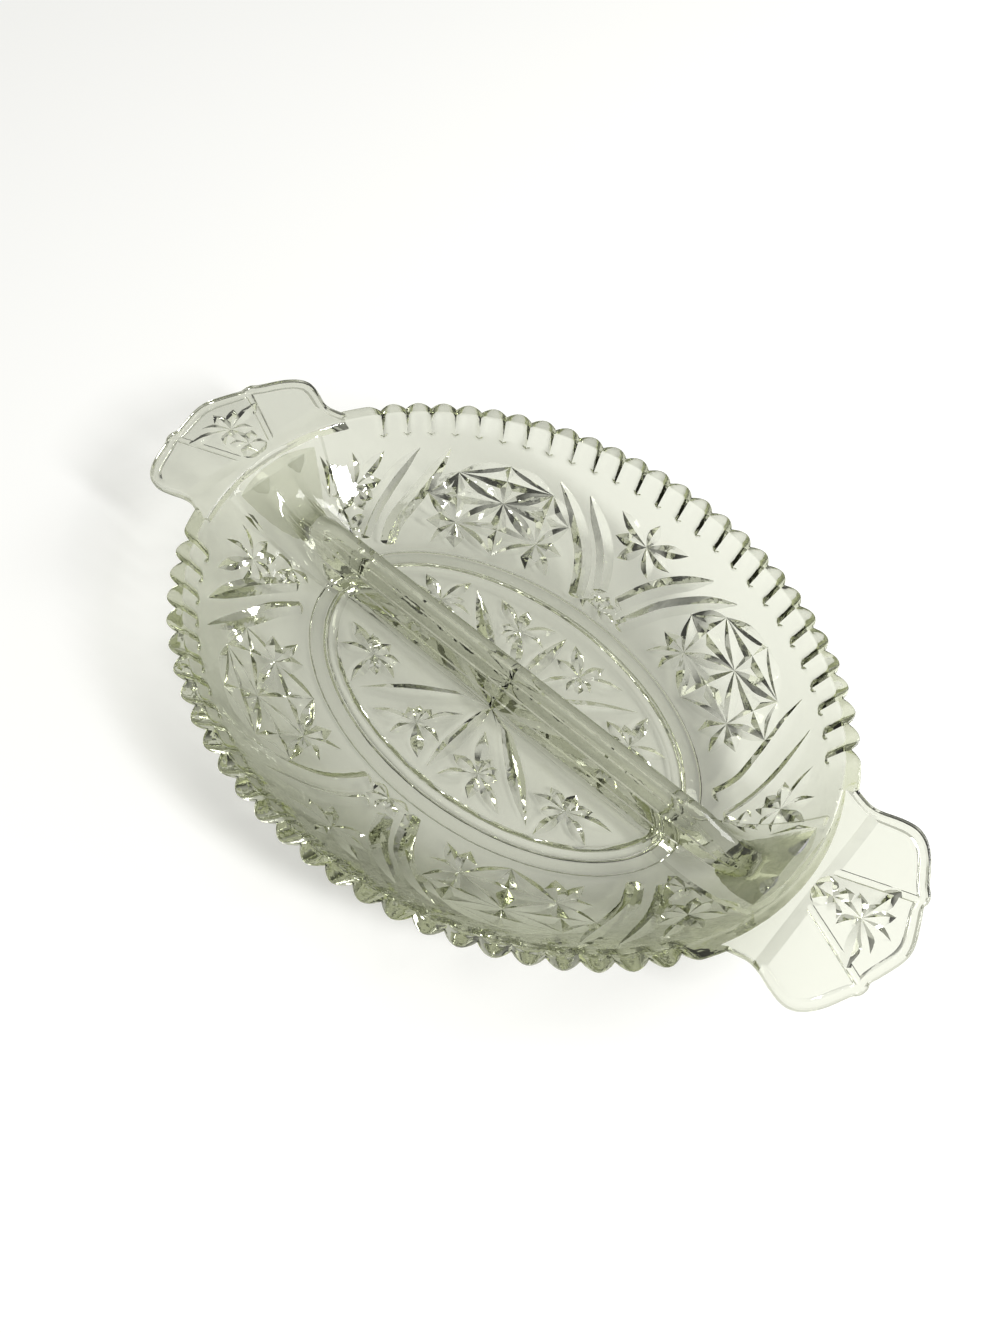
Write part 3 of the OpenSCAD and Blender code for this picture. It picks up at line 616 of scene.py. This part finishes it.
def flatLeaf(spots, halfWidth, depth, belly, angle, reach, height):
    # one leaf-shaped cut up into a flat underside at each spot, mirrored to the spot's own quarter
    hulls = []
    down = Vector((0, 0, -1))
    way = Vector((math.cos(math.radians(angle)), math.sin(math.radians(angle)), 0)) * reach
    for x, y, sx, sy in spots:
        start = Vector((x, y, height))
        run = Vector((way.x * sx, way.y * sy, 0))
        hulls.append(leafPoints(lambda share, a=start, r=run: (a + r * share, down), belly, halfWidth, depth))
    return cutter("flatLeaf", hulls)


def floorCutters(p=pattern):
    made = []
    size, height = p["floorHalf"], bowl["footHollow"]
    for x, y, ways in floorRays:
        end = Vector((x * size[0], y * size[1], 0))
        made.append(flatLeaf([(0, 0, i, j) for i, j in ways], p["rayHalf"], p["rayDepth"], p["rayBelly"],
                             math.degrees(math.atan2(end.y, end.x)), end.length, height))
    for (x, y), rays in floorStars.items():
        spots = [(i * x * size[0], j * y * size[1], i, j) for i, j in quarterSigns]
        for angle, share in rays:
            made.append(flatLeaf(spots, p["floorStarHalf"], p["floorStarDepth"], p["belly"], angle,
                                 p["floorStarReach"] * share, height))
    return made


def tabCutters(t=tab, p=pattern):
    made = []
    height = t["top"] - t["thick"] + t["panelDepth"]
    for out, rays in tabStars.items():
        x = tabSpot(out, 0).x
        for angle, share in rays:
            made.append(flatLeaf([(x, 0, 1, 1), (-x, 0, -1, 1)], t["starHalfWidth"], t["starDepth"],
                                 p["belly"], angle, t["starReach"] * share, height))
    return made


tray = merge(tray, [rib] + tabs, "UNION")
print("tray joined:", len(tray.data.polygons), "faces")
tray = merge(tray, wallCutters() + floorCutters() + tabCutters(), "DIFFERENCE")
print("pattern cut:", len(tray.data.polygons), "faces")

# skin
skin = {"crease": 24, "weight": 50}


def smoothSkin(thing, s=skin):
    # smooth shading on the pressed curves, sharp edges along the cuts
    shape = bmesh.new()
    shape.from_mesh(thing.data)
    loose = sum(1 for e in shape.edges if len(e.link_faces) != 2)
    print("skin checked:", len(shape.faces), "faces,", loose, "open edges")
    shape.to_mesh(thing.data)
    shape.free()
    thing.data.polygons.foreach_set("use_smooth", [True] * len(thing.data.polygons))
    thing.data.set_sharp_from_angle(angle=math.radians(s["crease"]))
    even = thing.modifiers.new("evenNormals", "WEIGHTED_NORMAL")
    even.mode, even.keep_sharp, even.weight = "FACE_AREA", True, s["weight"]


smoothSkin(tray)

# glass
# tint: the glass's own olive on facets that face the ray, darkening to painted shade on facets turned away
glass = {"refraction": 1.5, "tint": ((0.1, (0.86, 0.87, 0.8, 1)), (0.65, (0.25, 0.265, 0.18, 1))),
         "depthTint": (0.55, 0.58, 0.36, 1), "depthDensity": 20, "shadowTint": (1, 1, 0.99, 1),
         "slantShadowTint": (0.24, 0.245, 0.21, 1), "shadeSlant": (0.08, 0.72), "slantBlend": 0.5,
         "caughtTint": (0.93, 0.94, 0.86, 1), "lastBounce": 2.5, "endBounce": 1.5,
         "endRun": (0.068, 0.0681), "haze": (0.004, 0.03)}
ripple = {"coarse": 55, "fine": 210, "fineShare": 0.25, "hazeScale": 33, "hazeRun": (0.45, 0.75),
          "strength": 0.4, "distance": 0.0012}


def mathNode(nodes, links, operation, *feeds):
    # each feed is an output to link, or a plain number
    made = nodes.new("ShaderNodeMath")
    made.operation = operation
    for socket, feed in zip(made.inputs, feeds):
        if isinstance(feed, bpy.types.NodeSocket):
            links.new(feed, socket)
        else:
            socket.default_value = feed
    return made.outputs[0]


def rangeNode(nodes, links, feed, fromRun=(0, 1), toRun=(0, 1), kind="LINEAR"):
    made = nodes.new("ShaderNodeMapRange")
    made.interpolation_type = kind
    made.inputs["From Min"].default_value, made.inputs["From Max"].default_value = fromRun
    made.inputs["To Min"].default_value, made.inputs["To Max"].default_value = toRun
    links.new(feed, made.inputs["Value"])
    return made.outputs["Result"]


def rippleGroup(g=ripple):
    # slow waves and faint haze that a mould and hot glass leave in a pressed skin
    made = bpy.data.node_groups.new("pressedSkin", "ShaderNodeTree")
    for name, value in (("Scale", 1), ("Fine Share", g["fineShare"])):
        socket = made.interface.new_socket(name=name, in_out="INPUT", socket_type="NodeSocketFloat")
        socket.default_value = value
    for name in ("Height", "Haze"):
        made.interface.new_socket(name=name, in_out="OUTPUT", socket_type="NodeSocketFloat")
    nodes, links = made.nodes, made.links
    given, out = nodes.new("NodeGroupInput"), nodes.new("NodeGroupOutput")
    where = nodes.new("ShaderNodeTexCoord")
    sized = nodes.new("ShaderNodeVectorMath")
    sized.operation = "SCALE"
    links.new(where.outputs["Object"], sized.inputs[0])
    links.new(given.outputs["Scale"], sized.inputs["Scale"])
    waves = []
    for scale, detail in ((g["coarse"], 1), (g["fine"], 2), (g["hazeScale"], 3)):
        noise = nodes.new("ShaderNodeTexNoise")
        noise.inputs["Scale"].default_value = scale
        noise.inputs["Detail"].default_value = detail
        links.new(sized.outputs[0], noise.inputs["Vector"])
        waves.append(noise.outputs[0])
    fine = mathNode(nodes, links, "MULTIPLY", waves[1], given.outputs["Fine Share"])
    links.new(mathNode(nodes, links, "ADD", waves[0], fine), out.inputs["Height"])
    links.new(rangeNode(nodes, links, waves[2], g["hazeRun"]), out.inputs["Haze"])
    return made


def clearGlass(nodes, tint, g):
    # tinted clear shader, which doesn't bend the light
    clear = nodes.new("ShaderNodeBsdfTransparent")
    clear.name = tint
    clear.inputs["Color"].default_value = g[tint]
    return clear.outputs[0]


def mixShaders(nodes, links, share, first, second):
    both = nodes.new("ShaderNodeMixShader")
    links.new(share, both.inputs["Fac"])
    links.new(first, both.inputs[1])
    links.new(second, both.inputs[2])
    return both.outputs[0]


def glassMaterial(g=glass):
    made = bpy.data.materials.new("oliveTintedGlass")
    made.use_nodes = True
    tree = made.node_tree
    nodes, links = tree.nodes, tree.links
    nodes.clear()
    out = nodes.new("ShaderNodeOutputMaterial")
    surface = nodes.new("ShaderNodeBsdfPrincipled")
    surface.inputs["IOR"].default_value = g["refraction"]
    surface.inputs["Transmission Weight"].default_value = 1
    pressed = nodes.new("ShaderNodeGroup")
    pressed.node_tree = rippleGroup()
    pressed.inputs["Scale"].default_value = 1
    pressed.inputs["Fine Share"].default_value = ripple["fineShare"]
    links.new(rangeNode(nodes, links, pressed.outputs["Haze"], toRun=g["haze"]), surface.inputs["Roughness"])
    wavy = nodes.new("ShaderNodeBump")
    wavy.inputs["Strength"].default_value = ripple["strength"]
    wavy.inputs["Distance"].default_value = ripple["distance"]
    links.new(pressed.outputs["Height"], wavy.inputs["Height"])
    links.new(wavy.outputs["Normal"], surface.inputs["Normal"])
    # light for shadows passes straight through, and so does light caught inside after many reflections
    path = nodes.new("ShaderNodeLightPath")
    plain = mathNode(nodes, links, "MAXIMUM", path.outputs["Is Shadow Ray"], path.outputs["Is Diffuse Ray"])
    # in the thick ends of the divider the glass turns clear after fewer reflections, which paints light into
    # the dark shade those ends would otherwise show
    where, split = nodes.new("ShaderNodeTexCoord"), nodes.new("ShaderNodeSeparateXYZ")
    links.new(where.outputs["Object"], split.inputs[0])
    along = mathNode(nodes, links, "ABSOLUTE", split.outputs["X"])
    bounces = rangeNode(nodes, links, along, g["endRun"], (g["lastBounce"], g["endBounce"]))
    caught = mathNode(nodes, links, "GREATER_THAN", path.outputs["Glossy Depth"], bounces)
    # the base colour keeps the glass's olive tint where a facet faces the ray and darkens where it is turned
    # away, which is painted shade; turned-away facets also throw the darker shadow
    slant = nodes.new("ShaderNodeLayerWeight")
    slant.inputs["Blend"].default_value = g["slantBlend"]
    tintAndSlantShade = nodes.new("ShaderNodeValToRGB")
    tintAndSlantShade.name = "tintWithSlantShade"
    stops = tintAndSlantShade.color_ramp.elements
    (stops[0].position, stops[0].color), (stops[1].position, stops[1].color) = g["tint"]
    links.new(slant.outputs["Facing"], tintAndSlantShade.inputs["Fac"])
    links.new(tintAndSlantShade.outputs["Color"], surface.inputs["Base Color"])
    turned = rangeNode(nodes, links, slant.outputs["Facing"], g["shadeSlant"], kind="SMOOTHSTEP")
    shade = clearGlass(nodes, "shadowTint", g)
    shade = mixShaders(nodes, links, turned, shade, clearGlass(nodes, "slantShadowTint", g))
    last = mixShaders(nodes, links, caught, surface.outputs[0], clearGlass(nodes, "caughtTint", g))
    last = mixShaders(nodes, links, plain, last, shade)
    links.new(last, out.inputs["Surface"])
    depth = nodes.new("ShaderNodeVolumeAbsorption")
    depth.inputs["Color"].default_value = g["depthTint"]
    depth.inputs["Density"].default_value = g["depthDensity"]
    links.new(depth.outputs[0], out.inputs["Volume"])
    return made


tray.data.materials.clear()
tray.data.materials.append(glassMaterial())
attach(tray, "root")
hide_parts(*frame["nodes"])
print("glass set")

# table and light, sizes in metres
table = {"size": 6, "colour": (0.82, 0.82, 0.8, 1), "rough": 0.9, "seen": 0.2, "below": 0.0001}


def buildTable(t=table):
    shape = bmesh.new()
    bmesh.ops.create_grid(shape, x_segments=1, y_segments=1, size=t["size"] / 2)
    mesh = bpy.data.meshes.new("paleTable")
    shape.to_mesh(mesh)
    shape.free()
    floor = bpy.data.objects.new("paleTable", mesh)
    floor.location.z = -t["below"]
    collection.objects.link(floor)
    made = bpy.data.materials.new("paleTableTop")
    made.use_nodes = True
    nodes, links = made.node_tree.nodes, made.node_tree.links
    surface = nodes["Principled BSDF"]
    surface.inputs["Base Color"].default_value = t["colour"]
    surface.inputs["Roughness"].default_value = t["rough"]
    surface.inputs["Specular IOR Level"].default_value = 0
    # a little glow that only the camera and the glass see, so the background is white
    glow = nodes.new("ShaderNodeEmission")
    path = nodes.new("ShaderNodeLightPath")
    mirrored, through = path.outputs["Is Glossy Ray"], path.outputs["Is Transmission Ray"]
    byGlass = mathNode(nodes, links, "MAXIMUM", mirrored, through)
    direct = mathNode(nodes, links, "MAXIMUM", path.outputs["Is Camera Ray"], byGlass)
    links.new(mathNode(nodes, links, "MULTIPLY", direct, t["seen"]), glow.inputs["Strength"])
    both = nodes.new("ShaderNodeAddShader")
    links.new(surface.outputs[0], both.inputs[0])
    links.new(glow.outputs[0], both.inputs[1])
    links.new(both.outputs[0], nodes["Material Output"].inputs["Surface"])
    floor.data.materials.append(made)


# place, width, height and power; every lamp points at the middle of the tray
lamps = {"windowLight": ((0.92, 0, 0.77), 0.14, 0.32, 10), "fillLight": ((0.5, 0.9, 0.9), 0.5, 0.5, 6)}


def softLamp(name, place, width, height, power):
    lamp = bpy.data.lights.new(name, "AREA")
    lamp.shape, lamp.size, lamp.size_y, lamp.energy = "RECTANGLE", width, height, power
    thing = bpy.data.objects.new(name, lamp)
    thing.location = place
    thing.rotation_euler = Vector(place).to_track_quat("Z", "Y").to_euler()
    collection.objects.link(thing)


# studio: dark below, pale above and towards the back
studio = {"towardsBack": 0.35, "levels": ((0, (0.03, 0.03, 0.029, 1)), (0.2, (0.06, 0.06, 0.0582, 1)),
                                          (0.42, (0.26, 0.26, 0.2522, 1)), (0.8, (0.66, 0.66, 0.64, 1)))}


def buildWorld(s=studio):
    world = bpy.data.worlds.new("studio")
    bpy.context.scene.world = world
    world.use_nodes = True
    nodes, links = world.node_tree.nodes, world.node_tree.links
    back = nodes["Background"]
    where = nodes.new("ShaderNodeTexCoord")
    split = nodes.new("ShaderNodeSeparateXYZ")
    links.new(where.outputs["Generated"], split.inputs[0])
    ramp = nodes.new("ShaderNodeValToRGB")
    stops = ramp.color_ramp.elements
    (stops[0].position, stops[0].color), (stops[1].position, stops[1].color) = s["levels"][0], s["levels"][-1]
    for place, colour in s["levels"][1:-1]:
        stops.new(place).color = colour
    rise = mathNode(nodes, links, "MULTIPLY_ADD", split.outputs["Y"], s["towardsBack"], split.outputs["Z"])
    links.new(rise, ramp.inputs["Fac"])
    links.new(ramp.outputs["Color"], back.inputs["Color"])
    # past the table's edge the camera sees plain white
    path, white = nodes.new("ShaderNodeLightPath"), nodes.new("ShaderNodeBackground")
    white.inputs["Color"].default_value = (1, 1, 1, 1)
    seen = mixShaders(nodes, links, path.outputs["Is Camera Ray"], back.outputs[0], white.outputs[0])
    links.new(seen, nodes["World Output"].inputs["Surface"])


buildTable()
buildWorld()
for name, lamp in lamps.items():
    softLamp(name, *lamp)
bpy.context.scene.view_settings.view_transform = "Standard"
print("table and light set")
